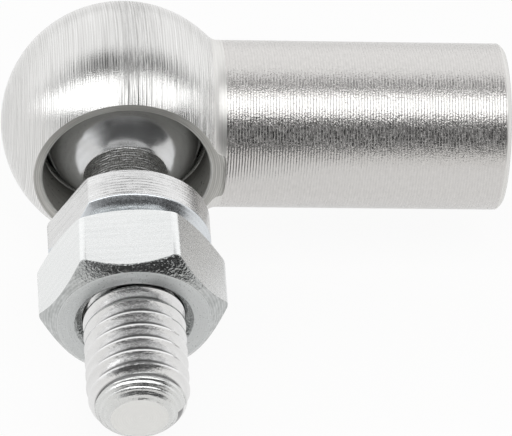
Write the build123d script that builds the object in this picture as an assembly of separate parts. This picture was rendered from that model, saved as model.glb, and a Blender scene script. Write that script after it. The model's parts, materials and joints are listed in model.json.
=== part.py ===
from build123d import *
import math
import os

# Angle ball joint with a male ball stud, held by a wire snap ring. Sizes are millimetres and degrees.
# The origin is the ball's centre. The shank runs along +X, the socket opens towards -Y, and +Z is up.
# The stud leans down from -Y, as it does when the joint lies on a table.

# Ball and the cup that it turns in
ball_d = 13.0
cup_clearance = 0.05
bore_clearance = 0.1

# Socket housing
head_d = 19.3
mouth_depth = 6.3
mouth_chamfer = 0.15
facing_end = 7.8
facing_corner = 0.3
shank_d = 13.3
shank_end = 30.3
shank_chamfer = 0.35
head_fillet = 1.2

# Female rod thread, drawn as its tapped bore
rod_bore_d = 6.8
rod_mouth_d = 8.4
rod_bore_depth = 16.0
drill_point_angle = 118.0

# Snap ring of round spring wire, and its groove
wire_d = 1.2
wire_bite = 0.38
wire_clearance = 0.04
spread_room = 0.1
ring_gap_angle = 36.0

# Ball stud
neck_d = 6.6
neck_fillet = 0.4
collar_d = 12.7
collar_start = 10.45
collar_seat = 13.9
collar_chamfer = 0.85
collar_edge = 0.12
flats_width = 11.0
flats_turn = 26.5
thread_d = 7.9
relief_d = 6.4
relief_length = 1.3
stud_length = 30.0
tip_face_d = 4.4
tip_round = 3.0
stud_lean = 7.0

# Hex nut
nut_width = 12.8
nut_height = 6.2
nut_start = 14.4
nut_bore_clearance = 0.05
nut_mouth_d = 9.2
nut_face_d = 11.8
nut_back_angle = 28.0
nut_front_angle = 40.0
nut_corner = 0.7
nut_turn = -6.2

ball_r = ball_d / 2
cup_r = ball_r + cup_clearance
bore_r = ball_r + bore_clearance
head_r = head_d / 2
shank_r = shank_d / 2
wire_r = wire_d / 2
thread_r = thread_d / 2
nut_bore_r = thread_r + nut_bore_clearance

# The wire bears on the ball, and on the groove's front wall just outside the bore.
ring_r = bore_r + wire_bite
ring_place = math.sqrt((ball_r + wire_r + wire_clearance) ** 2 - ring_r ** 2)
groove_half = wire_r + wire_clearance
groove_r = ball_r + wire_d + spread_room


def revolved(points_and_arcs, axis):
    """One closed half section, turned into a solid about its axis."""
    with BuildSketch(Plane.XY) as section:
        with BuildLine():
            points_and_arcs()
        make_face()
    return revolve(section.sketch, axis)


def socket_housing():
    join_x = math.sqrt(head_r ** 2 - shank_r ** 2)
    with BuildSketch(Plane.XY) as section:
        with BuildLine():
            JernArc((-head_r, 0), (0, 1), head_r, -math.degrees(math.pi - math.atan2(shank_r, join_x)))
            Polyline(
                (join_x, shank_r),
                (shank_end - shank_chamfer, shank_r),
                (shank_end, shank_r - shank_chamfer),
                (shank_end, 0),
                (-head_r, 0),
            )
        make_face()
        join = section.vertices().sort_by_distance(Vector(join_x, shank_r))[0]
        fillet(join, head_fillet)
    blank = revolve(section.sketch, Axis.X)

    cutter = Box(head_r + facing_end, head_r, 2 * head_r, align=(Align.MAX, Align.MAX, Align.CENTER))
    step_edge = cutter.edges().filter_by(Axis.Z).sort_by(Axis.X)[-2:].sort_by(Axis.Y)[-1]
    front = Pos(facing_end, -mouth_depth, 0) * fillet(step_edge, facing_corner)
    return blank - front - cup() - rod_bore()


def cup():
    """The ball's room: a round-bottomed bore with the ring's groove, open at the mouth."""
    mouth_r = bore_r + mouth_chamfer
    beyond = mouth_depth + head_r
    bore = revolved(
        lambda: Polyline(
            (0, 0),
            (bore_r, 0),
            (bore_r, -mouth_depth + mouth_chamfer),
            (mouth_r, -mouth_depth),
            (mouth_r, -beyond),
            (0, -beyond),
            (0, 0),
        ),
        Axis.Y,
    )
    groove = Pos(0, -ring_place, 0) * Rot(90, 0, 0) * Cylinder(groove_r, 2 * groove_half)
    return Sphere(cup_r) + bore + groove


def rod_bore():
    """The tapped bore in the shank's end, with its drill point and countersink."""
    bore = rod_bore_d / 2
    mouth = rod_mouth_d / 2
    floor_x = shank_end - rod_bore_depth
    point_x = floor_x - bore / math.tan(math.radians(drill_point_angle / 2))
    return revolved(
        lambda: Polyline(
            (point_x, 0),
            (floor_x, bore),
            (shank_end - (mouth - bore), bore),
            (shank_end, mouth),
            (shank_end + mouth, mouth),
            (shank_end + mouth, 0),
            (point_x, 0),
        ),
        Axis.X,
    )


def snap_ring():
    """An open ring of round wire, with its gap at the top."""
    wire = Plane.XY * Pos(ring_r, -ring_place) * Circle(wire_r)
    ring = revolve(wire, Axis.Y, revolution_arc=360 - ring_gap_angle)
    return Rot(0, ring_gap_angle / 2 - 90, 0) * ring


def ball_stud():
    neck_r = neck_d / 2
    collar_r = collar_d / 2
    seat_r = collar_r - collar_chamfer
    relief_r = relief_d / 2
    tip_face_r = tip_face_d / 2
    neck_y = -math.sqrt(ball_r ** 2 - neck_r ** 2)
    relief_end = collar_seat + relief_length
    tip_drop = thread_r - tip_face_r
    tip_length = math.sqrt(2 * tip_round * tip_drop - tip_drop ** 2)
    tip_turn = math.degrees(math.asin(tip_length / tip_round))
    round_start = stud_length - tip_length
    with BuildSketch(Plane.XY) as section:
        with BuildLine():
            JernArc((0, ball_r), (1, 0), ball_r, -math.degrees(math.pi / 2 + math.atan2(-neck_y, neck_r)))
            Polyline(
                (neck_r, neck_y),
                (neck_r, -collar_start),
                (collar_r - collar_edge, -collar_start),
                (collar_r, -collar_start - collar_edge),
                (collar_r, -collar_seat + collar_chamfer),
                (seat_r, -collar_seat),
                (relief_r, -collar_seat),
                (relief_r, -relief_end),
                (thread_r, -relief_end - (thread_r - relief_r)),
                (thread_r, -round_start),
            )
            JernArc((thread_r, -round_start), (0, -1), tip_round, -tip_turn)
            Polyline((tip_face_r, -stud_length), (0, -stud_length), (0, ball_r))
        make_face()
        corner = section.vertices().sort_by_distance(Vector(neck_r, -collar_start))[0]
        fillet(corner, neck_fillet)
    turned = revolve(section.sketch, Axis.Y)

    collar_length = collar_seat - collar_start
    cut_x = flats_width / 2 + collar_r / 2
    cut_y = -(collar_start + collar_seat) / 2
    for side in (-1, 1):
        cut = Pos(side * cut_x, cut_y, 0) * Box(collar_r, collar_length, 2 * collar_r)
        turned -= Rot(0, flats_turn, 0) * cut
    return turned


def hex_nut():
    face_r = nut_face_d / 2
    mouth_r = nut_mouth_d / 2
    corner_r = nut_width / math.sqrt(3)
    back_drop = (corner_r - face_r) * math.tan(math.radians(nut_back_angle))
    front_drop = (corner_r - face_r) * math.tan(math.radians(nut_front_angle))
    with BuildSketch(Plane.XZ) as section:
        RegularPolygon(nut_width / 2, 6, major_radius=False)
        fillet(section.vertices(), nut_corner)
    prism = extrude(section.sketch, nut_height)

    envelope = revolved(
        lambda: Polyline(
            (0, 0),
            (face_r, 0),
            (corner_r, -back_drop),
            (corner_r, -nut_height + front_drop),
            (face_r, -nut_height),
            (0, -nut_height),
            (0, 0),
        ),
        Axis.Y,
    )
    bore = revolved(
        lambda: Polyline(
            (0, 0),
            (mouth_r, 0),
            (nut_bore_r, nut_bore_r - mouth_r),
            (nut_bore_r, -nut_height + mouth_r - nut_bore_r),
            (mouth_r, -nut_height),
            (0, -nut_height),
            (0, 0),
        ),
        Axis.Y,
    )
    return Rot(0, nut_turn, 0) * ((prism & envelope) - bore)


lean = Rot(stud_lean, 0, 0)
pieces = {
    "socket_housing": socket_housing(),
    "snap_ring": snap_ring(),
    "ball_stud": lean * ball_stud(),
    "hex_nut": lean * Pos(0, -nut_start, 0) * hex_nut(),
}

os.makedirs("parts", exist_ok=True)
for name, piece in pieces.items():
    export_step(piece, f"parts/{name}.step")
    box = piece.bounding_box()
    print(name, round(piece.volume, 1), box.min, box.max)
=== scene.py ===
import json
import math

import bmesh
import bpy
import numpy as np
from mathutils import Matrix, Vector


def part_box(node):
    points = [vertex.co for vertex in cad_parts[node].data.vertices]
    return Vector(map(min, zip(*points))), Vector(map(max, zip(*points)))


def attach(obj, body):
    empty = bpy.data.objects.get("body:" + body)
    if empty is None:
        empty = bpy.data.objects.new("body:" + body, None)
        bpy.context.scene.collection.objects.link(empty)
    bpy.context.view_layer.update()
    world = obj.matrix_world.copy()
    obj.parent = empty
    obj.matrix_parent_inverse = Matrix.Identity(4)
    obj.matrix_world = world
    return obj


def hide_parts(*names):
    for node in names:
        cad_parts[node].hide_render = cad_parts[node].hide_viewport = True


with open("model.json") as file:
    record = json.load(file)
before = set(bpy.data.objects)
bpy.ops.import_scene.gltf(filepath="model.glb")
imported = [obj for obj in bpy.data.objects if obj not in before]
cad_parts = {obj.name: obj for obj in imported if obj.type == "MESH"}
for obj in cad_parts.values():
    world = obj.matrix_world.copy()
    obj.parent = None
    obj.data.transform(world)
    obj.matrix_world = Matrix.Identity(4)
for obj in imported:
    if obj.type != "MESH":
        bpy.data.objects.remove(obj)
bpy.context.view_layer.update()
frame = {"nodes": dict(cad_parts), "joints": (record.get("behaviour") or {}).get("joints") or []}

mm = 0.001
print("frame loaded:", sorted(frame["nodes"]))

# places that every piece shares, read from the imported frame
headRadius = -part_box("socket_housing")[0].x / mm
shankRadius = -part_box("socket_housing")[0].y / mm
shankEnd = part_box("socket_housing")[1].x / mm
stemAxis = next(j for j in frame["joints"] if j["name"] == "nut_turn")["axis"]
studLean = math.atan2(-stemAxis[2], -stemAxis[1])
alongShank = Matrix.Rotation(math.pi / 2, 4, "Y")     # a turned piece's own axis laid along +X
outOfMouth = Matrix.Rotation(math.pi / 2, 4, "X")     # the same axis laid along -Y
alongStud = Matrix.Rotation(studLean, 4, "X") @ outOfMouth


def linear(code):
    channels = [int(code[i:i + 2], 16) / 255 for i in (1, 3, 5)]
    return tuple(c / 12.92 if c < 0.04045 else ((c + 0.055) / 1.055) ** 2.4 for c in channels) + (1.0,)


def addNode(tree, kind, links=None, **settings):
    # one node with its settings; links holds a number, a colour or another node's output for each input
    node = tree.nodes.new(kind)
    for name, value in settings.items():
        setattr(node, name, value)
    for key, value in (links or {}).items():
        if isinstance(value, bpy.types.NodeSocket):
            tree.links.new(value, node.inputs[key])
        else:
            node.inputs[key].default_value = value
    return node


# Finishes
# Each is a steel surface with the marks of the tool that made it, most of them under bright zinc. Lengths
# are millimetres. "about" says which way the work turned in the lathe, "across" whether the marks follow
# each other along that axis, out from it, or over the round of the head. "feed" is the tool's advance for
# one turn of the work, "streak" the width of its chatter, "reach" how short that chatter runs round the
# work, and "grain" the size of the plating's crystals. Real crystals are finer than these, and would not
# show.

feedRootShade = 0.1                     # painted shade: how much lighter a feed ridge is drawn than the root beside it, for the shade the grooves hold
noiseLow, noiseHigh = 0.3, 0.7      # the part of a noise's range that holds most of its values

finishes = {
    # turned mild steel under bright zinc: a regular feed that splits each reflection into fine stripes; the
    # real feed is about 0.2 mm, and is drawn a little coarser so that it shows
    "turnedShank": dict(
        tones=("#DDDBD9", "#C6C4C2"), about="shank", across="along", feed=0.225, feedDepth=0.019,
        streak=0.19, reach=12.0, streakDepth=0.03, grain=0.13, grainDepth=0.022, roughness=(0.08, 0.2)),
    # the same steel turned with a form tool: uneven rings of many widths, and a torn band with dark specks,
    # "at" so far along the shank's axis, whose specks fade from "full" to "faint" away from the mouth
    "turnedHead": dict(
        tones=("#FCFCFB", "#B6B5B3"), about="shank", across="round", feed=0.21, feedDepth=0.003,
        streak=0.11, reach=1.3, streakDepth=0.04, grain=0.1, grainDepth=0.009, roughness=(0.12, 0.2),
        anisotropy=0.5,
        torn=dict(at=0.3, halfWidth=3.2, deeper=3.2, full=-6.5, faint=-3.0, faintShare=0.25,
                  finer=1.1, pitFrom=0.4, pitTo=0.56, darkest=0.9)),
    # the neck between head and shank, turned in one smooth sweep
    "turnedFillet": dict(
        tones=("#F4F3F1", "#D8D7D4"), about="shank", across="along", feed=0.23, feedDepth=0.003,
        streak=0.2, reach=1.3, streakDepth=0.03, grain=0.12, grainDepth=0.004, roughness=(0.36, 0.46),
        metallic=0.85),
    # the mouth's milled face: a dull, even grey
    "facedMouth": dict(
        tones=("#E9E8E4", "#807F7B"), about="mouth", across="outward", feed=0.16, feedDepth=0.002,
        streak=0.22, reach=1.4, streakDepth=0.014, grain=0.09, grainDepth=0.006, roughness=(0.34, 0.5),
        metallic=0.75),
    # the shank's end, faced in the lathe: fine rings round the tapped hole
    "facedEnd": dict(
        tones=("#DEDDDA", "#A9A8A4"), about="shank", across="outward", feed=0.2, feedDepth=0.003,
        streak=0.25, reach=0.8, streakDepth=0.014, grain=0.1, grainDepth=0.005, roughness=(0.24, 0.36)),
    # the broken edge of the mouth: a rough line where the bore meets the milled face, painted paler than the
    # faces beside it as a highlight along the edge
    "brokenEdge": dict(
        tones=("#F0F0EE", "#C2C2BE"), about="mouth", across="along", feed=0.2, feedDepth=0.001,
        streak=0.12, reach=5.0, streakDepth=0.03, grain=0.2, grainDepth=0.03, roughness=(0.35, 0.55),
        metallic=0.5),
    # the bored cup: darker inside, under a film of grease
    "boredCup": dict(
        tones=("#D6D5D0", "#ACABA6"), about="mouth", across="along", feed=0.24, feedDepth=0.002,
        streak=0.33, reach=1.6, streakDepth=0.012, grain=0.3, grainDepth=0.01, roughness=(0.26, 0.42),
        metallic=0.55),
    # the tapped hole: oily and dark between its crests
    "tappedBore": dict(
        tones=("#B3B2AE", "#8F8E8A"), about="shank", across="along", feed=0.31, feedDepth=0.002,
        streak=0.3, reach=2.0, streakDepth=0.01, grain=0.2, grainDepth=0.006, roughness=(0.28, 0.42)),
    # the ball, rolled bright under a film of grease
    "polishedBall": dict(
        tones=("#E6E7E8", "#D0D1D2"), about="stud", across="along", feed=0.4, feedDepth=0.0004,
        streak=0.5, reach=1.2, streakDepth=0.006, grain=0.9, grainDepth=0.01, roughness=(0.15, 0.24),
        metallic=0.9),
    # the stud's neck, plainly turned: darker, with deep chatter
    "turnedNeck": dict(
        tones=("#E6E6E6", "#BCBCBB"), about="stud", across="along", feed=0.24, feedDepth=0.004,
        streak=0.16, reach=2.6, streakDepth=0.04, grain=0.16, grainDepth=0.006, roughness=(0.2, 0.32),
        anisotropy=0.2),
    # its collar, turned the same way and left rough: bright, with wide streaks
    "turnedCollar": dict(
        tones=("#F3F3F3", "#D0D0D0"), about="stud", across="along", feed=0.27, feedDepth=0.006,
        streak=0.24, reach=1.6, streakDepth=0.05, grain=0.14, grainDepth=0.009, roughness=(0.2, 0.32),
        anisotropy=0.2),
    # the collar's bevel, turned with a broad tool: smooth and a little blue
    "collarBevel": dict(
        tones=("#E6EAEE", "#D2D6DA"), about="stud", across="outward", feed=0.2, feedDepth=0.001,
        streak=0.3, reach=1.1, streakDepth=0.012, grain=0.15, grainDepth=0.004, roughness=(0.2, 0.3)),
    # the spanner flats, milled: pale and even
    "milledFlat": dict(
        tones=("#F0F0F0", "#DCDDDD"), about="stud", across="along", feed=0.3, feedDepth=0.001, streak=0.4,
        reach=1.0, streakDepth=0.01, grain=0.2, grainDepth=0.008, roughness=(0.26, 0.36)),
    # rolled thread: burnished crests, and painted shade in the roots
    "rolledThread": dict(
        tones=("#F4F4F4", "#E4E4E4"), about="stud", across="along", feed=0.41, feedDepth=0.001,
        streak=0.3, reach=1.3, streakDepth=0.02, grain=0.26, grainDepth=0.014, roughness=(0.13, 0.26),
        rootShade=dict(root=3.28, crest=3.4, darkest=0.3)),
    # the round of the point, turned before the thread was rolled
    "turnedPoint": dict(
        tones=("#EBECEB", "#D6D7D6"), about="stud", across="along", feed=0.3, feedDepth=0.02, streak=0.17,
        reach=1.4, streakDepth=0.04, grain=0.18, grainDepth=0.012, roughness=(0.18, 0.3)),
    # the stud's cut end: flat and dull white
    "cutTip": dict(
        tones=("#F6F6F4", "#EDEDEB"), about="stud", across="outward", feed=0.2, feedDepth=0.001,
        streak=0.5, reach=0.8, streakDepth=0.006, grain=0.13, grainDepth=0.006, roughness=(0.42, 0.55),
        metallic=0.85),
    # cold-formed hexagon nut, barrel plated: even satin
    "satinNut": dict(
        tones=("#F6F7F7", "#EAECEC"), about="stud", across="along", feed=0.6, feedDepth=0.0004,
        streak=0.7, reach=1.0, streakDepth=0.01, grain=0.14, grainDepth=0.006, roughness=(0.22, 0.34)),
    # the nut's chamfers, cut after forming: glossy, with coarse marks that glint
    "nutBevel": dict(
        tones=("#DDDFDF", "#8F9291"), about="stud", across="outward", feed=0.2, feedDepth=0.001,
        streak=0.3, reach=9.0, streakDepth=0.03, grain=0.22, grainDepth=0.06, roughness=(0.08, 0.14)),
    # the nut's two faces, left as pressed and plated: a soft even grey
    "nutFace": dict(
        tones=("#E0E2E2", "#CED1D1"), about="stud", across="outward", feed=0.19, feedDepth=0.001,
        streak=0.3, reach=1.2, streakDepth=0.006, grain=0.12, grainDepth=0.004, roughness=(0.26, 0.38),
        metallic=0.6),
    # drawn spring wire, a little darker than the plated parts
    "drawnWire": dict(
        tones=("#B4B4B1", "#969692"), about="mouth", across="outward", feed=0.1, feedDepth=0.001,
        streak=0.12, reach=1.4, streakDepth=0.004, grain=0.1, grainDepth=0.003, roughness=(0.24, 0.34)),
}
upright = {"shank": alongShank, "mouth": outOfMouth, "stud": alongStud}


def makeFinish(name, tones, about, across, feed, feedDepth, streak, reach, streakDepth,
               grain, grainDepth, roughness, anisotropy=0.0, metallic=1.0, rootShade=None, torn=None):
    material = bpy.data.materials.new(name)
    material.use_nodes = True
    tree = material.node_tree
    tree.nodes.clear()
    # the object's own coordinates, turned so that the lathe's axis stands along Z, in millimetres
    place = addNode(tree, "ShaderNodeTexCoord").outputs["Object"]
    turn = addNode(tree, "ShaderNodeMapping", {
        "Vector": place, "Scale": (1 / mm,) * 3, "Rotation": upright[about].inverted().to_euler()[:]})
    split = addNode(tree, "ShaderNodeSeparateXYZ", {0: turn.outputs[0]})
    flat = addNode(tree, "ShaderNodeVectorMath", {0: turn.outputs[0], 1: (1.0, 1.0, 0.0)},
                   operation="MULTIPLY")
    outward = addNode(tree, "ShaderNodeVectorMath", {0: flat.outputs[0]}, operation="LENGTH")
    step = split.outputs["Z"] if across == "along" else outward.outputs["Value"]
    around = addNode(tree, "ShaderNodeVectorMath", {0: flat.outputs[0]}, operation="NORMALIZE")
    if across == "round":
        # the tool follows the head's round, so its rings keep their width and close up at the pole
        polar = addNode(tree, "ShaderNodeMath", {0: outward.outputs["Value"], 1: split.outputs["Z"]},
                        operation="ARCTAN2")
        length = addNode(tree, "ShaderNodeMath", {0: polar.outputs[0], 1: headRadius}, operation="MULTIPLY")
        step = length.outputs[0]
        around = addNode(tree, "ShaderNodeVectorMath", {0: flat.outputs[0], "Scale": 1 / headRadius},
                         operation="SCALE")

    # feed marks: one ridge for each turn of the work
    ridges = addNode(tree, "ShaderNodeMath", {0: step, 1: 2 * math.pi / feed}, operation="MULTIPLY")
    ridge = addNode(tree, "ShaderNodeMath", {0: ridges.outputs[0]}, operation="SINE")

    # streaks: long round the work, as narrow as the tool's own chatter across it
    streakStep = addNode(tree, "ShaderNodeMath", {0: step, 1: 1 / streak}, operation="MULTIPLY")
    swing = addNode(tree, "ShaderNodeVectorMath", {0: around.outputs[0], "Scale": reach}, operation="SCALE")
    lift = addNode(tree, "ShaderNodeCombineXYZ", {"Z": streakStep.outputs[0]})
    path = addNode(tree, "ShaderNodeVectorMath", {0: swing.outputs[0], 1: lift.outputs[0]})
    streaks = addNode(tree, "ShaderNodeTexNoise", {
        "Vector": path.outputs[0], "Scale": 1.0, "Detail": 3.0, "Roughness": 0.6})

    # grain: the plating's own crystals, drawn coarser than life so that they show
    crystals = addNode(tree, "ShaderNodeTexNoise", {
        "Vector": turn.outputs[0], "Scale": 1 / grain, "Detail": 2.0, "Roughness": 0.55})

    ridgeHeight = addNode(tree, "ShaderNodeMath", {0: ridge.outputs[0], 1: feedDepth * mm},
                          operation="MULTIPLY")
    depth = streakDepth * mm
    if torn:
        # two passes of the tool meet here, and leave the deepest marks
        off = addNode(tree, "ShaderNodeMath", {0: split.outputs["Z"], 1: torn["at"]}, operation="SUBTRACT")
        away = addNode(tree, "ShaderNodeMath", {0: off.outputs[0]}, operation="ABSOLUTE")
        deeper = addNode(tree, "ShaderNodeMapRange", {
            "Value": away.outputs[0], "From Max": torn["halfWidth"],
            "To Min": torn["deeper"] * depth, "To Max": depth}, interpolation_type="SMOOTHSTEP")
        depth = deeper.outputs[0]
        # the torn metal holds dark specks, most of them close to the mouth
        hold = addNode(tree, "ShaderNodeMapRange", {
            "Value": away.outputs[0], "From Max": torn["halfWidth"],
            "To Min": 1.0, "To Max": 0.0}, interpolation_type="SMOOTHSTEP")
        front = addNode(tree, "ShaderNodeMapRange", {
            "Value": split.outputs["Y"], "From Min": torn["full"], "From Max": torn["faint"],
            "To Min": 1.0, "To Max": torn["faintShare"]}, interpolation_type="SMOOTHSTEP")
        fineStep = addNode(tree, "ShaderNodeVectorMath", {0: path.outputs[0], 1: (torn["finer"],) * 3},
                           operation="MULTIPLY")
        scratches = addNode(tree, "ShaderNodeTexNoise", {
            "Vector": fineStep.outputs[0], "Scale": 1.0, "Detail": 2.0, "Roughness": 0.7})
        pit = addNode(tree, "ShaderNodeMapRange", {
            "Value": scratches.outputs["Fac"], "From Min": torn["pitFrom"], "From Max": torn["pitTo"],
            "To Min": torn["darkest"], "To Max": 0.0})
        worst = addNode(tree, "ShaderNodeMath", {0: hold.outputs[0], 1: front.outputs[0]},
                        operation="MULTIPLY")
        stain = addNode(tree, "ShaderNodeMath", {0: worst.outputs[0], 1: pit.outputs[0]},
                        operation="MULTIPLY")
        shade = addNode(tree, "ShaderNodeMath", {0: 1.0, 1: stain.outputs[0]}, operation="SUBTRACT")
    streakHeight = addNode(tree, "ShaderNodeMath", {
        0: streaks.outputs["Fac"], 1: depth, 2: ridgeHeight.outputs[0]}, operation="MULTIPLY_ADD")
    height = addNode(tree, "ShaderNodeMath", {
        0: crystals.outputs["Fac"], 1: grainDepth * mm, 2: streakHeight.outputs[0]},
        operation="MULTIPLY_ADD")
    relief = addNode(tree, "ShaderNodeBump", {"Strength": 1.0, "Distance": 1.0, "Height": height.outputs[0]})

    # painted shade: the tone is darker in the feed's roots and lighter on its ridges, for the shade held in
    # the grooves; the streaks vary it at random
    streaksAndRootShade = addNode(tree, "ShaderNodeMath", {
        0: ridge.outputs[0], 1: feedRootShade, 2: streaks.outputs["Fac"]}, operation="MULTIPLY_ADD")
    tone = addNode(tree, "ShaderNodeMix", {
        "Factor": streaksAndRootShade.outputs[0], "A": linear(tones[1]), "B": linear(tones[0])}, data_type="RGBA")
    colour = tone.outputs["Result"]
    if torn:
        colour = addNode(tree, "ShaderNodeVectorMath", {0: colour, "Scale": shade.outputs[0]},
                         operation="SCALE").outputs[0]
    if rootShade:
        # painted shade: darker towards the roots, where the thread's own shade falls
        deep = addNode(tree, "ShaderNodeMapRange", {
            "Value": outward.outputs["Value"], "From Min": rootShade["root"], "From Max": rootShade["crest"],
            "To Min": rootShade["darkest"], "To Max": 1.0})
        colour = addNode(tree, "ShaderNodeVectorMath", {0: colour, "Scale": deep.outputs[0]},
                         operation="SCALE").outputs[0]
    rough = addNode(tree, "ShaderNodeMapRange", {
        "Value": crystals.outputs["Fac"], "From Min": noiseLow, "From Max": noiseHigh,
        "To Min": roughness[0], "To Max": roughness[1]})
    shader = addNode(tree, "ShaderNodeBsdfPrincipled", {
        "Base Color": colour, "Metallic": metallic, "Roughness": rough.outputs[0],
        "Normal": relief.outputs[0], "Anisotropic": anisotropy})
    if anisotropy:
        tangent = addNode(tree, "ShaderNodeTangent", direction_type="UV_MAP", uv_map="turning")
        tree.links.new(tangent.outputs[0], shader.inputs["Tangent"])
    addNode(tree, "ShaderNodeOutputMaterial", {"Surface": shader.outputs[0]})
    return material


materials = {name: makeFinish(name, **finish) for name, finish in finishes.items()}
print("finishes:", len(materials))


# Turned work: an outline swept round an axis that stands along Z, later laid where the piece goes.
# An outline is a list of (along, radius, finish of the stretch that starts here, corner easing). It is
# asked for at each angle of the sweep, and one that is round is the same at all of them.

easeShare = 0.45           # the most that an easing takes of the stretch beside it
turningLength = 40         # millimetres of outline for one unit of the UV map
weldGap = 0.0008 * mm
smoothLimit = 31           # degrees, above which an edge stays sharp


def arc(along, radius, size, start, end, steps, finish):
    turns = np.radians(np.linspace(start, end, steps + 1))
    return [(along + size * math.cos(t), radius + size * math.sin(t), finish, 0) for t in turns]


def eased(outline, loop):
    # each corner with an easing becomes three points, so that it catches a line of light
    points, kinds = [], []
    count = len(outline)
    for i, (along, radius, finish, ease) in enumerate(outline):
        here = np.array((along, radius))
        if not ease or (not loop and i in (0, count - 1)):
            points.append(here)
            kinds.append(finish)
            continue
        before = np.array(outline[i - 1][:2])
        after = np.array(outline[(i + 1) % count][:2])
        towards = []
        for point in (before, after):
            stretch = np.linalg.norm(point - here)
            towards.append(here + (point - here) / max(stretch, 1e-6) * min(ease, easeShare * stretch))
        points += [towards[0], (towards[0] + 2 * here + towards[1]) / 4, towards[1]]
        kinds += [finish, finish, finish]
    return points, kinds


def turned(name, outlineAt, angles, place, loop=False, thread=None):
    columns = [eased(outlineAt(angle), loop) for angle in angles]
    kinds = columns[0][1]
    grid = np.array([c[0] for c in columns])
    rows = grid.shape[1]
    turns = np.radians(np.array(angles))[:, None]
    corners = [grid[..., 1] * np.cos(turns), grid[..., 1] * np.sin(turns), grid[..., 0]]
    corners = np.stack(corners, axis=-1) * mm
    lengths = np.concatenate([[0], np.cumsum(np.linalg.norm(np.diff(grid[0], axis=0), axis=1))])
    last = rows if loop else rows - 1
    faces, slots, uvs = [], [], []
    names = sorted(set(kinds))
    for i in range(len(angles) - 1):
        for j in range(last):
            k = (j + 1) % rows
            faces.append((i * rows + j, (i + 1) * rows + j, (i + 1) * rows + k, i * rows + k))
            slots.append(names.index(kinds[j]))
            near = lengths[j] / turningLength
            far = (lengths[k] if k else lengths[-1] + 1) / turningLength
            left = angles[i] / 360
            right = angles[i + 1] / 360
            uvs += [(near, left), (near, right), (far, right), (far, left)]
    mesh = bpy.data.meshes.new(name)
    mesh.from_pydata(corners.reshape(-1, 3).tolist(), [], faces)
    mesh.uv_layers.new(name="turning")
    mesh.uv_layers["turning"].data.foreach_set("uv", np.array(uvs).ravel())
    for finish in names:
        mesh.materials.append(materials[finish])
    mesh.polygons.foreach_set("material_index", slots)
    clean(mesh)
    piece = bpy.data.objects.new(name, mesh)
    bpy.context.scene.collection.objects.link(piece)
    if thread:
        cutThread(piece, thread)
    piece.data.transform(place)
    return piece


def clean(mesh):
    # seams and poles are welded, then the faces are made to point outwards
    work = bmesh.new()
    work.from_mesh(mesh)
    bmesh.ops.remove_doubles(work, verts=work.verts, dist=weldGap)
    bmesh.ops.dissolve_degenerate(work, edges=work.edges, dist=weldGap)
    bmesh.ops.recalc_face_normals(work, faces=work.faces)
    work.to_mesh(mesh)
    work.free()


def bake(piece):
    # the modifiers' result becomes the piece's plain mesh
    bpy.context.view_layer.update()
    depsgraph = bpy.context.evaluated_depsgraph_get()
    solved = bpy.data.meshes.new_from_object(piece.evaluated_get(depsgraph), preserve_all_data_layers=True,
                                             depsgraph=depsgraph)
    piece.modifiers.clear()
    piece.data = solved
    return piece


def shadeSmooth(piece, limit=smoothLimit):
    piece.data.shade_smooth()
    piece.data.set_sharp_from_angle(angle=math.radians(limit))
    weighted = piece.modifiers.new("weighted", "WEIGHTED_NORMAL")
    weighted.keep_sharp = True
    return bake(piece)


# Screw threads follow one rule: how deep a point lies depends on how far along it is for its angle. The
# flanks stand at 60 degrees to each other.

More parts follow.
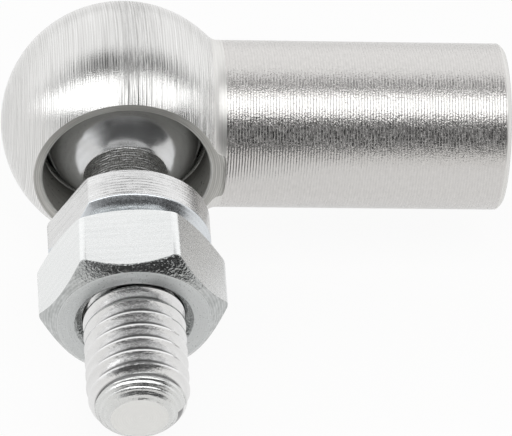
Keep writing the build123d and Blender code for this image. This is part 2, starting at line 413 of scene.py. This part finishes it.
def threadRule():
    tree = bpy.data.node_groups.new("screwThread", "GeometryNodeTree")
    tree.is_modifier = True
    tree.interface.new_socket("Geometry", in_out="INPUT", socket_type="NodeSocketGeometry")
    for name in ("Pitch", "Depth", "Base Radius", "Start", "End", "Fade", "Root Half Width", "Outward"):
        tree.interface.new_socket(name, in_out="INPUT", socket_type="NodeSocketFloat")
    tree.interface.new_socket("Geometry", in_out="OUTPUT", socket_type="NodeSocketGeometry")
    given = addNode(tree, "NodeGroupInput").outputs
    place = addNode(tree, "GeometryNodeInputPosition").outputs[0]
    split = addNode(tree, "ShaderNodeSeparateXYZ", {0: place})
    flat = addNode(tree, "ShaderNodeCombineXYZ", {"X": split.outputs["X"], "Y": split.outputs["Y"]})
    radius = addNode(tree, "ShaderNodeVectorMath", {0: flat.outputs[0]}, operation="LENGTH").outputs["Value"]
    angle = addNode(tree, "ShaderNodeMath", {0: split.outputs["Y"], 1: split.outputs["X"]},
                    operation="ARCTAN2")
    part = addNode(tree, "ShaderNodeMath", {0: angle.outputs[0], 1: 2 * math.pi}, operation="DIVIDE")
    turns = addNode(tree, "ShaderNodeMath", {0: split.outputs["Z"], 1: given["Pitch"]}, operation="DIVIDE")
    wound = addNode(tree, "ShaderNodeMath", {0: turns.outputs[0], 1: part.outputs[0]}, operation="SUBTRACT")
    phase = addNode(tree, "ShaderNodeMath", {0: wound.outputs[0]}, operation="FRACT")
    middle = addNode(tree, "ShaderNodeMath", {0: phase.outputs[0], 1: 0.5}, operation="SUBTRACT")
    away = addNode(tree, "ShaderNodeMath", {0: middle.outputs[0]}, operation="ABSOLUTE")
    gap = addNode(tree, "ShaderNodeMath", {0: away.outputs[0], 1: given["Pitch"]}, operation="MULTIPLY")
    flank = addNode(tree, "ShaderNodeMath", {0: gap.outputs[0], 1: given["Root Half Width"]},
                    operation="SUBTRACT")
    rise = addNode(tree, "ShaderNodeMath", {0: flank.outputs[0], 1: 0.0}, operation="MAXIMUM")
    climb = addNode(tree, "ShaderNodeMath", {0: rise.outputs[0], 1: -math.sqrt(3), 2: given["Depth"]},
                    operation="MULTIPLY_ADD")
    cut = addNode(tree, "ShaderNodeMath", {0: climb.outputs[0], 1: 0.0}, operation="MAXIMUM")
    full = addNode(tree, "ShaderNodeMath", {0: given["Start"], 1: given["Fade"]}, operation="ADD")
    fadeIn = addNode(tree, "ShaderNodeMapRange", {
        "Value": split.outputs["Z"], "From Min": given["Start"], "From Max": full.outputs[0]})
    groove = addNode(tree, "ShaderNodeMath", {0: cut.outputs[0], 1: fadeIn.outputs[0]}, operation="MULTIPLY")
    outBase = addNode(tree, "ShaderNodeMath", {
        0: given["Base Radius"], 1: given["Outward"], 2: groove.outputs[0]}, operation="MULTIPLY_ADD")
    outHere = addNode(tree, "ShaderNodeMath", {0: radius, 1: given["Outward"]}, operation="MULTIPLY")
    most = addNode(tree, "ShaderNodeMath", {0: outBase.outputs[0], 1: outHere.outputs[0]},
                   operation="MAXIMUM")
    settled = addNode(tree, "ShaderNodeMath", {0: most.outputs[0], 1: given["Outward"]}, operation="MULTIPLY")
    change = addNode(tree, "ShaderNodeMath", {0: settled.outputs[0], 1: radius}, operation="SUBTRACT")
    outward = addNode(tree, "ShaderNodeVectorMath", {0: flat.outputs[0]}, operation="NORMALIZE")
    shift = addNode(tree, "ShaderNodeVectorMath", {0: outward.outputs[0], "Scale": change.outputs[0]},
                    operation="SCALE")
    after = addNode(tree, "FunctionNodeCompare", {"A": split.outputs["Z"], "B": given["Start"]},
                    operation="GREATER_THAN")
    before = addNode(tree, "FunctionNodeCompare", {"A": split.outputs["Z"], "B": given["End"]},
                     operation="LESS_THAN")
    within = addNode(tree, "FunctionNodeBooleanMath", {0: after.outputs[0], 1: before.outputs[0]})
    moved = addNode(tree, "GeometryNodeSetPosition", {
        "Geometry": given["Geometry"], "Selection": within.outputs[0], "Offset": shift.outputs[0]})
    real = addNode(tree, "GeometryNodeRealizeInstances", {"Geometry": moved.outputs[0]})
    addNode(tree, "NodeGroupOutput", {"Geometry": real.outputs[0]})
    return tree


screwThread = threadRule()


def setInputs(modifier, sizes):
    for item in modifier.node_group.interface.items_tree:
        if item.in_out == "INPUT" and item.name in sizes:
            modifier[item.identifier] = sizes[item.name]


def cutThread(piece, sizes):
    modifier = piece.modifiers.new("thread", "NODES")
    modifier.node_group = screwThread
    setInputs(modifier, sizes)
    bake(piece)
    clean(piece.data)


def helixRows(start, end, pitch, angle, phases):
    # points along a threaded stretch, one for each phase of each turn, clamped to the stretch's ends
    # the first and last turns start outside it, so that every angle is covered
    first = math.floor(start / pitch) - 2
    last = math.ceil(end / pitch) + 1
    rows = [(turn + phase + angle / 360) * pitch for turn in range(first, last) for phase in phases]
    return [min(max(row, start), end) for row in rows]


def fullTurn(step, start=0):
    return [start + step * k for k in range(round(360 / step) + 1)]


def cutOut(piece, *cutters):
    for cutter in cutters:
        cut = piece.modifiers.new(cutter.name, "BOOLEAN")
        cut.operation = "DIFFERENCE"
        cut.solver = "EXACT"
        cut.material_mode = "TRANSFER"
        cut.object = cutter
    bake(piece)
    for cutter in cutters:
        bpy.data.objects.remove(cutter)


# Socket housing: one turned blank, the ball's room bored across it, and the tapped hole in its end

# "step" and "tapStep" are the degrees between the columns of a sweep. What begins with "past" carries a
# cutter clear of the metal.
housing = dict(
    step=1.25, fillet=1.2, feedStart=7.7, endChamfer=0.35, facingEnd=7.8, facingCorner=0.3,
    mouth=6.3, mouthEdge=0.15, cup=6.55, bore=6.6, grooveStart=0.864, grooveEnd=2.144, groove=7.8,
    tapStep=2.5, tap=3.4, tapMouth=4.2, tapFloor=14.3, drillPoint=12.257, tapThreadStart=15.9,
    pitch=1.25, threadDepth=0.6, rootHalf=0.15625, runOut=0.3, pastThread=0.5, pastEnd=2, pastMouth=12,
    pastHead=1)


def housingOutline(angle):
    h = housing
    reach = headRadius + h["fillet"]
    joinRadius = shankRadius + h["fillet"]
    joinPlace = math.sqrt(reach ** 2 - joinRadius ** 2)
    joinAngle = math.degrees(math.atan2(joinRadius, joinPlace))
    return (arc(0, 0, headRadius, 180, joinAngle, 90, "turnedHead")
            + arc(joinPlace, joinRadius, h["fillet"], 180 + joinAngle, 270, 12, "turnedFillet")[1:-1]
            + [(joinPlace, shankRadius, "turnedFillet", 0),
               (h["feedStart"], shankRadius, "turnedShank", 0),
               (shankEnd - h["endChamfer"], shankRadius, "turnedFillet", 0.1),
               (shankEnd, shankRadius - h["endChamfer"], "facedEnd", 0.08),
               (shankEnd, 0, "facedEnd", 0)])


def roomOutline(angle):
    h = housing
    beyond = h["mouth"] + h["pastMouth"]
    return (arc(0, 0, h["cup"], 180, 90, 48, "boredCup")
            + [(0, h["bore"], "boredCup", 0),
               (h["grooveStart"], h["bore"], "boredCup", 0),
               (h["grooveStart"], h["groove"], "boredCup", 0),
               (h["grooveEnd"], h["groove"], "boredCup", 0),
               (h["grooveEnd"], h["bore"], "boredCup", 0),
               (h["mouth"] - h["mouthEdge"], h["bore"], "brokenEdge", 0.04),
               (h["mouth"], h["bore"] + h["mouthEdge"], "facedMouth", 0),
               (beyond, h["bore"] + h["mouthEdge"], "facedMouth", 0),
               (beyond, 0, "facedMouth", 0)])


def threadPhases(depth, pitch, rootHalf):
    # where the crest's edge, the flank and the root lie within one turn, as shares of the pitch
    lip = 0.02
    crest = (rootHalf + depth / math.sqrt(3)) / pitch
    root = rootHalf / pitch
    side = [0.5 - crest - lip, 0.5 - crest, 0.5 - (2 * crest + root) / 3, 0.5 - (crest + 2 * root) / 3,
            0.5 - root]
    return side + [0.5] + [1 - p for p in reversed(side)]


def tapOutline(angle):
    h = housing
    phases = threadPhases(h["threadDepth"], h["pitch"], h["rootHalf"])
    coneStart = shankEnd - (h["tapMouth"] - h["tap"])
    rows = helixRows(h["tapThreadStart"] - h["runOut"], shankEnd, h["pitch"], angle, phases) + [coneStart]
    past = shankEnd + h["pastEnd"]
    return ([(h["drillPoint"], 0, "tappedBore", 0), (h["tapFloor"], h["tap"], "tappedBore", 0)]
            + [(row, h["tap"] + max(0, row - coneStart), "tappedBore", 0) for row in sorted(rows)]
            + [(past, h["tapMouth"], "tappedBore", 0), (past, 0, "tappedBore", 0)])


def facingBlock():
    # what the flat cutter takes off in front of the mouth, with the round of its edge at the shank
    h = housing
    side = headRadius + h["pastHead"]
    front = -h["mouth"] - h["pastMouth"]
    size = h["facingCorner"]
    bend = [(h["facingEnd"] - size * (1 - math.sin(t)), -h["mouth"] - size * (1 - math.cos(t)))
            for t in np.radians(np.linspace(0, 90, 7))]
    corners = [(-side, -h["mouth"])] + bend + [(h["facingEnd"], front), (-side, front)]
    work = bmesh.new()
    low, high = ([work.verts.new((x * mm, y * mm, z * mm)) for x, y in corners] for z in (-side, side))
    work.faces.new(low)
    work.faces.new(high)
    for i in range(len(corners)):
        k = (i + 1) % len(corners)
        work.faces.new((low[i], low[k], high[k], high[i]))
    bmesh.ops.recalc_face_normals(work, faces=work.faces)
    mesh = bpy.data.meshes.new("facingBlock")
    work.to_mesh(mesh)
    work.free()
    mesh.uv_layers.new(name="turning")
    mesh.materials.append(materials["facedMouth"])
    block = bpy.data.objects.new("facingBlock", mesh)
    bpy.context.scene.collection.objects.link(block)
    return block


socketHousing = turned("socketHousing", housingOutline, fullTurn(housing["step"]), alongShank)
ballRoom = turned("ballRoom", roomOutline, fullTurn(housing["step"]), outOfMouth)
tappedHole = turned("tappedHole", tapOutline, fullTurn(housing["tapStep"]), alongShank, thread={
    "Pitch": housing["pitch"] * mm, "Depth": housing["threadDepth"] * mm,
    "Base Radius": housing["tap"] * mm, "Start": housing["tapThreadStart"] * mm,
    "End": (shankEnd + housing["pastThread"]) * mm, "Fade": housing["pitch"] * mm,
    "Root Half Width": housing["rootHalf"] * mm, "Outward": 1.0})
cutOut(socketHousing, ballRoom, tappedHole, facingBlock())
shadeSmooth(socketHousing)
print("socket housing:", len(socketHousing.data.polygons), "faces")


# Snap ring: one open turn of round wire, swept along an arc with its gap at the top

snapWire = dict(wire=0.6, radius=6.98, place=1.504, gap=36.0, pathPoints=181, wirePoints=28, smoothLimit=50)


def ringRule():
    tree = bpy.data.node_groups.new("openRing", "GeometryNodeTree")
    tree.is_modifier = True
    tree.interface.new_socket("Geometry", in_out="INPUT", socket_type="NodeSocketGeometry")
    for name in ("Wire Radius", "Ring Radius", "Place", "Gap"):
        tree.interface.new_socket(name, in_out="INPUT", socket_type="NodeSocketFloat")
    tree.interface.new_socket("Finish", in_out="INPUT", socket_type="NodeSocketMaterial")
    tree.interface.new_socket("Geometry", in_out="OUTPUT", socket_type="NodeSocketGeometry")
    given = addNode(tree, "NodeGroupInput").outputs
    halfGap = addNode(tree, "ShaderNodeMath", {0: given["Gap"], 1: 0.5}, operation="MULTIPLY")
    start = addNode(tree, "ShaderNodeMath", {0: halfGap.outputs[0], 1: math.pi / 2})
    sweep = addNode(tree, "ShaderNodeMath", {0: 2 * math.pi, 1: given["Gap"]}, operation="SUBTRACT")
    path = addNode(tree, "GeometryNodeCurveArc", {
        "Resolution": snapWire["pathPoints"], "Radius": given["Ring Radius"],
        "Start Angle": start.outputs[0], "Sweep Angle": sweep.outputs[0]}, mode="RADIUS")
    section = addNode(tree, "GeometryNodeCurvePrimitiveCircle", {
        "Resolution": snapWire["wirePoints"], "Radius": given["Wire Radius"]})
    wire = addNode(tree, "GeometryNodeCurveToMesh", {
        "Curve": path.outputs["Curve"], "Profile Curve": section.outputs["Curve"], "Fill Caps": True})
    offset = addNode(tree, "ShaderNodeCombineXYZ", {"Z": given["Place"]})
    moved = addNode(tree, "GeometryNodeTransform", {
        "Geometry": wire.outputs["Mesh"], "Translation": offset.outputs[0]})
    real = addNode(tree, "GeometryNodeRealizeInstances", {"Geometry": moved.outputs[0]})
    finish = addNode(tree, "GeometryNodeSetMaterial", {
        "Geometry": real.outputs[0], "Material": given["Finish"]})
    addNode(tree, "NodeGroupOutput", {"Geometry": finish.outputs[0]})
    return tree


snapRing = bpy.data.objects.new("snapRing", bpy.data.meshes.new("snapRing"))
bpy.context.scene.collection.objects.link(snapRing)
ringModifier = snapRing.modifiers.new("ring", "NODES")
ringModifier.node_group = ringRule()
setInputs(ringModifier, {
    "Wire Radius": snapWire["wire"] * mm, "Ring Radius": snapWire["radius"] * mm,
    "Place": snapWire["place"] * mm, "Gap": math.radians(snapWire["gap"]),
    "Finish": materials["drawnWire"]})
bake(snapRing)
snapRing.data.transform(outOfMouth)
clean(snapRing.data)
shadeSmooth(snapRing, snapWire["smoothLimit"])
print("snap ring:", len(snapRing.data.polygons), "faces")


# Ball stud: ball, neck, collar with two spanner flats, and a rolled M8 thread

# "step" is the degrees between the sweep's columns, "ontoRound" how far the thread's finish runs onto the
# round of the point, and "rowGap" and "edgeRun" keep the rows of the collar's edge apart.
stud = dict(
    step=1.5, ball=6.5, neck=3.3, neckFillet=0.4, collar=6.35, collarStart=10.45, collarEdge=0.12,
    seat=13.9, flats=5.5, flatsTurn=-26.5, relief=3.2, reliefEnd=15.2, thread=3.95,
    pitch=1.25, threadDepth=0.677, rootHalf=0.15625, fade=0.5, inset=0.01, endInset=0.02,
    ontoRound=0.9, rowGap=0.002, edgeRun=0.03,
    tipFace=2.2, tipRound=3.0, length=30.0)


def studOutline(angle):
    s = stud
    neckStart = math.sqrt(s["ball"] ** 2 - s["neck"] ** 2)
    neckAngle = math.degrees(math.atan2(s["neck"], neckStart))
    turnFromFlat = math.cos(math.radians(angle - s["flatsTurn"]))
    middleFromFlat = math.cos(math.radians(angle + s["step"] / 2 - s["flatsTurn"]))
    wall = min(s["collar"], s["flats"] / max(abs(turnFromFlat), 0.1))
    onFlat = abs(middleFromFlat) > s["flats"] / s["collar"]
    edgeRadius = s["collar"] - s["collarEdge"]
    wallFinish = "milledFlat" if onFlat else "turnedCollar"
    threadStart = s["reliefEnd"] + s["thread"] - s["relief"]
    tipDrop = s["thread"] - s["tipFace"]
    roundStart = s["length"] - math.sqrt(2 * s["tipRound"] * tipDrop - tipDrop ** 2)
    lastThread = roundStart + s["ontoRound"]

    def threadRadius(place):
        beyond = max(0, place - roundStart)
        return s["thread"] - s["tipRound"] + math.sqrt(s["tipRound"] ** 2 - beyond ** 2)

    phases = threadPhases(s["threadDepth"], s["pitch"], s["rootHalf"])
    rows = helixRows(threadStart, s["length"], s["pitch"], angle, phases)
    size = s["neckFillet"]
    fillet = arc(s["collarStart"] - size, s["neck"] + size, size, 270, 360, 6, "turnedNeck")
    return (arc(0, 0, s["ball"], 180, neckAngle, 64, "polishedBall")[:-1]
            + [(neckStart, s["neck"], "turnedNeck", 0.1)]
            + fillet
            + [(s["collarStart"], min(wall, edgeRadius), wallFinish, 0.03),
               (s["collarStart"] + max(s["edgeRun"], wall - edgeRadius), wall, wallFinish, 0.03),
               (s["seat"] - (wall - s["flats"]) - s["rowGap"], wall, "collarBevel", 0.07),
               (s["seat"], s["flats"], "collarBevel", 0.05),
               (s["seat"], s["relief"], "turnedNeck", 0),
               (s["reliefEnd"], s["relief"], "rolledThread", 0)]
            + [(row, threadRadius(row), "turnedPoint" if row > lastThread else "rolledThread", 0)
               for row in rows]
            + [(s["length"], s["tipFace"], "cutTip", 0.12), (s["length"], 0, "cutTip", 0)])


studAngles = fullTurn(stud["step"], 30 + stud["flatsTurn"])
ballStud = turned("ballStud", studOutline, studAngles, alongStud, thread={
    "Pitch": stud["pitch"] * mm, "Depth": stud["threadDepth"] * mm, "Base Radius": stud["thread"] * mm,
    "Start": (stud["reliefEnd"] + stud["inset"]) * mm, "End": (stud["length"] - stud["endInset"]) * mm,
    "Fade": stud["fade"] * mm, "Root Half Width": stud["rootHalf"] * mm, "Outward": -1.0})
shadeSmooth(ballStud)
print("ball stud:", len(ballStud.data.polygons), "faces")


# Hexagon nut: six flats with rolled corners, chamfered on both faces

nut = dict(width=12.8, height=6.2, start=14.4, corner=0.7, face=5.9, backAngle=28.0, frontAngle=40.0,
           mouth=4.6, bore=4.0, turn=6.2, cornerSteps=5, flatSteps=17, smoothLimit=24)
cornerAngle = math.degrees(math.atan((nut["width"] / 2 - nut["corner"]) * math.tan(math.radians(30))
                                     / (nut["width"] / 2)))


def hexRadius(angle):
    # distance from the axis to the hexagon's side, or to the round of its corner
    fromFlat = (angle - nut["turn"] - 30) % 60
    fromFlat = min(fromFlat, 60 - fromFlat)
    if fromFlat <= cornerAngle:
        return nut["width"] / 2 / math.cos(math.radians(fromFlat))
    centre = (nut["width"] / 2 - nut["corner"]) / math.cos(math.radians(30))
    aside = math.radians(30 - fromFlat)
    return centre * math.cos(aside) + math.sqrt(nut["corner"] ** 2 - (centre * math.sin(aside)) ** 2)


def nutOutline(angle):
    n = nut
    side = hexRadius(angle)
    back, front = ((side - n["face"]) * math.tan(math.radians(n[k])) for k in ("backAngle", "frontAngle"))
    sink = n["mouth"] - n["bore"]
    return [(0, n["mouth"], "nutFace", 0.04), (0, n["face"], "nutBevel", 0.08), (back, side, "satinNut", 0.1),
            (n["height"] - front, side, "nutBevel", 0.1), (n["height"], n["face"], "nutFace", 0.08),
            (n["height"], n["mouth"], "nutBevel", 0.05), (n["height"] - sink, n["bore"], "tappedBore", 0),
            (sink, n["bore"], "nutBevel", 0)]


cornerSteps = [cornerAngle + (30 - cornerAngle) * k / nut["cornerSteps"]
               for k in range(nut["cornerSteps"] + 1)]
flatSteps = [cornerAngle * k / nut["flatSteps"] for k in range(1 - nut["flatSteps"], nut["flatSteps"])]
sideSteps = [-a for a in reversed(cornerSteps)] + flatSteps + cornerSteps[:-1]
nutAngles = [nut["turn"] + 30 + 60 * side + step for side in range(6) for step in sideSteps]
nutAngles.append(nutAngles[0] + 360)
nutPlace = alongStud @ Matrix.Translation((0, 0, nut["start"] * mm))
hexNut = turned("hexNut", nutOutline, nutAngles, nutPlace, loop=True)
shadeSmooth(hexNut, nut["smoothLimit"])
print("hex nut:", len(hexNut.data.polygons), "faces")


# Stage: a plain pale table, a pale room that is darker behind the camera, and a long soft box overhead

tableTop = dict(size=3.0, floor=-headRadius, fibre=900.0, paper=("#EFEEEC", "#F3F2F0"), glow=0.93,
                fadeEnd=-0.06, fadeStart=-0.018, faintest=0.12, brightest=0.76)


def makeTable():
    half = tableTop["size"] / 2
    level = tableTop["floor"] * mm
    corners = [(-half, -half, level), (half, -half, level), (half, half, level), (-half, half, level)]
    mesh = bpy.data.meshes.new("table")
    mesh.from_pydata(corners, [], [(0, 1, 2, 3)])
    table = bpy.data.objects.new("table", mesh)
    bpy.context.scene.collection.objects.link(table)
    # matt white paper: shows only a faint shadow
    material = bpy.data.materials.new("paperTable")
    material.use_nodes = True
    tree = material.node_tree
    tree.nodes.clear()
    fibres = addNode(tree, "ShaderNodeTexNoise", {"Scale": tableTop["fibre"], "Detail": 2.0})
    dark, pale = tableTop["paper"]
    pulp = addNode(tree, "ShaderNodeMix", {
        "Factor": fibres.outputs["Fac"], "A": linear(dark), "B": linear(pale)}, data_type="RGBA")
    paper = addNode(tree, "ShaderNodeBsdfDiffuse", {"Color": pulp.outputs["Result"]})
    glow = addNode(tree, "ShaderNodeEmission", {"Color": linear("#FFFFFF"), "Strength": 1.0})
    ray = addNode(tree, "ShaderNodeLightPath").outputs
    seen = addNode(tree, "ShaderNodeMath", {0: ray["Is Camera Ray"], 1: tableTop["glow"]},
                   operation="MULTIPLY")
    mirrored = addNode(tree, "ShaderNodeMath", {0: ray["Is Glossy Ray"], 1: ray["Is Transmission Ray"]})
    # the light falls off over the table in front, which darkens the low band of each reflection
    spot = addNode(tree, "ShaderNodeSeparateXYZ", {0: addNode(tree, "ShaderNodeTexCoord").outputs["Object"]})
    near = addNode(tree, "ShaderNodeMapRange", {
        "Value": spot.outputs["Y"], "From Min": tableTop["fadeEnd"], "From Max": tableTop["fadeStart"],
        "To Min": tableTop["faintest"], "To Max": tableTop["brightest"]}, interpolation_type="SMOOTHSTEP")
    share = addNode(tree, "ShaderNodeMath", {0: mirrored.outputs[0], 1: near.outputs[0], 2: seen.outputs[0]},
                    operation="MULTIPLY_ADD")
    blend = addNode(tree, "ShaderNodeMixShader", {
        0: share.outputs[0], 1: paper.outputs[0], 2: glow.outputs[0]})
    addNode(tree, "ShaderNodeOutputMaterial", {"Surface": blend.outputs[0]})
    mesh.materials.append(material)


# "bands" holds (angle, tone) from the back horizon, under the table and up past the camera to the zenith
# and down the back wall. Each wall has the heights between which it changes, and its tones at the two.
room = dict(
    bands=[(-180, 0.95), (-90, 0.6), (-20, 0.4), (6, 0.06), (40, 0.06), (46, 0.2), (62, 0.3), (88, 0.25),
           (97, 0.12), (109, 0.16), (119, 1.05), (180, 1.1)],
    walls=((0.02, 0.4, 0.95, 0.35), (-0.15, 0.02, 0.6, 0.05)), wallStart=0.35, wallFull=0.75, middle=0.1,
    endStart=0.84, endFull=0.94, endTone=1.0, backFull=0.35, backTone=1.1, level=0.8)


def makeRoom():
    world = bpy.data.worlds.new("paleRoom")
    bpy.context.scene.world = world
    world.use_nodes = True
    tree = world.node_tree
    tree.nodes.clear()
    look = addNode(tree, "ShaderNodeSeparateXYZ", {
        0: addNode(tree, "ShaderNodeTexCoord").outputs["Generated"]})
    ahead = addNode(tree, "ShaderNodeMath", {0: look.outputs["Y"], 1: -1.0}, operation="MULTIPLY")
    climb = addNode(tree, "ShaderNodeMath", {0: look.outputs["Z"], 1: ahead.outputs[0]}, operation="ARCTAN2")
    turn = addNode(tree, "ShaderNodeMath", {0: climb.outputs[0], 1: 1 / (2 * math.pi), 2: 0.5},
                   operation="MULTIPLY_ADD")
    bands = addNode(tree, "ShaderNodeValToRGB", {"Fac": turn.outputs[0]})
    ramp = bands.color_ramp
    ramp.elements[0].position = 0.0
    ramp.elements[1].position = 1.0
    for angle, tone in room["bands"][1:-1]:
        ramp.elements.new((angle + 180) / 360)
    for element, (angle, tone) in zip(ramp.elements, room["bands"]):
        element.color = (tone, tone, tone, 1)
    # the side walls are pale low down and dark above, and meet the pale back wall
    aside = addNode(tree, "ShaderNodeMath", {0: look.outputs["X"]}, operation="ABSOLUTE")
    beside = addNode(tree, "ShaderNodeMapRange", {
        "Value": aside.outputs[0], "From Min": room["wallStart"], "From Max": room["wallFull"]},
        interpolation_type="SMOOTHSTEP")
    left, right = (addNode(tree, "ShaderNodeMapRange", {
        "Value": look.outputs["Z"], "From Min": low, "From Max": high, "To Min": lowTone, "To Max": highTone},
        interpolation_type="SMOOTHSTEP") for low, high, lowTone, highTone in room["walls"])
    hand = addNode(tree, "ShaderNodeMapRange", {
        "Value": look.outputs["X"], "From Min": -room["middle"], "From Max": room["middle"]})
    sides = addNode(tree, "ShaderNodeMix", {
        "Factor": hand.outputs[0], "A": left.outputs[0], "B": right.outputs[0]})
    # both ends of the room are bright, as windows would be
    far = addNode(tree, "ShaderNodeMapRange", {
        "Value": aside.outputs[0], "From Min": room["endStart"], "From Max": room["endFull"]},
        interpolation_type="SMOOTHSTEP")
    ends = addNode(tree, "ShaderNodeMix", {
        "Factor": far.outputs[0], "A": sides.outputs[0], "B": room["endTone"]})
    behind = addNode(tree, "ShaderNodeMapRange", {
        "Value": look.outputs["Y"], "From Min": 0.0, "From Max": room["backFull"]},
        interpolation_type="SMOOTHSTEP")
    walls = addNode(tree, "ShaderNodeMix", {
        "Factor": behind.outputs[0], "A": ends.outputs[0], "B": room["backTone"]})
    whole = addNode(tree, "ShaderNodeMix", {
        "Factor": beside.outputs[0], "A": bands.outputs["Color"], "B": walls.outputs[0]}, data_type="RGBA")
    # the camera sees plain white, and what lights the diffuse surfaces is a little weaker
    ray = addNode(tree, "ShaderNodeLightPath").outputs
    white = addNode(tree, "ShaderNodeMix", {
        "Factor": ray["Is Camera Ray"], "A": whole.outputs["Result"], "B": linear("#FFFFFF")},
        data_type="RGBA")
    mirrored = addNode(tree, "ShaderNodeMath", {0: ray["Is Glossy Ray"], 1: ray["Is Transmission Ray"]})
    seen = addNode(tree, "ShaderNodeMath", {0: mirrored.outputs[0], 1: ray["Is Camera Ray"]})
    level = addNode(tree, "ShaderNodeMapRange", {
        "Value": seen.outputs[0], "To Min": room["level"], "To Max": 1.0})
    light = addNode(tree, "ShaderNodeBackground", {
        "Color": white.outputs["Result"], "Strength": level.outputs[0]})
    addNode(tree, "ShaderNodeOutputWorld", {"Surface": light.outputs[0]})


# the box hangs over the front of the table; "centre" and "spread" are angles seen from the joint
softBox = dict(height=0.45, centre=66.0, spread=46.0, left=1.1, right=0.6, glow=1.75)


def makeSoftBox():
    centre = math.radians(softBox["centre"])
    half = math.radians(softBox["spread"] / 2)
    distance = softBox["height"] / math.sin(centre)
    width = 2 * distance * math.tan(half)
    length = softBox["left"] + softBox["right"]
    lamp = bpy.data.lights.new("softBox", "AREA")
    lamp.shape = "RECTANGLE"
    lamp.size = length
    lamp.size_y = width
    lamp.energy = softBox["glow"] * math.pi * length * width
    box = bpy.data.objects.new("softBox", lamp)
    bpy.context.scene.collection.objects.link(box)
    box.location = ((softBox["right"] - softBox["left"]) / 2, -distance * math.cos(centre),
                    distance * math.sin(centre))
    box.rotation_euler = (-(math.pi / 2 - centre), 0, 0)
    box.visible_camera = False


makeTable()
makeRoom()
makeSoftBox()
print("stage: table, room and soft box")


# Camera: from the front left and above, far enough away to flatten the shank

view = dict(azimuth=-8.095, elevation=41.945, roll=5.976, distance=400, lens=354.05, sensor=36,
            aside=10.611, below=7.604, clipStart=0.01, clipEnd=20)


def makeCamera():
    a, e, r = (math.radians(view[k]) for k in ("azimuth", "elevation", "roll"))
    back = Vector((math.sin(a) * math.cos(e), -math.cos(a) * math.cos(e), math.sin(e)))
    right = Vector((math.cos(a), math.sin(a), 0))
    up = back.cross(right)
    across = math.cos(r) * right + math.sin(r) * up
    above = -math.sin(r) * right + math.cos(r) * up
    data = bpy.data.cameras.new("camera")
    data.lens = view["lens"]
    data.sensor_width = view["sensor"]
    data.clip_start = view["clipStart"]
    data.clip_end = view["clipEnd"]
    place = (view["distance"] * back + view["aside"] * across - view["below"] * above) * mm
    camera = bpy.data.objects.new("camera", data)
    bpy.context.scene.collection.objects.link(camera)
    camera.matrix_world = Matrix.Translation(place) @ Matrix((across, above, back)).transposed().to_4x4()
    bpy.context.scene.camera = camera


makeCamera()
bpy.context.scene.view_settings.view_transform = "Standard"
print("camera:", view["lens"], "mm lens at", view["distance"], "mm")


# Hand the pieces to the frame

for piece, node, body, slot in ((socketHousing, "socket_housing", "socket", "turned_plated_steel"),
                                (snapRing, "snap_ring", "ring", "spring_wire"),
                                (ballStud, "ball_stud", "stud", "stud_steel"),
                                (hexNut, "hex_nut", "nut", "nut_steel")):
    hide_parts(node)
    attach(piece, body)
    print(piece.name, "stands for", node)
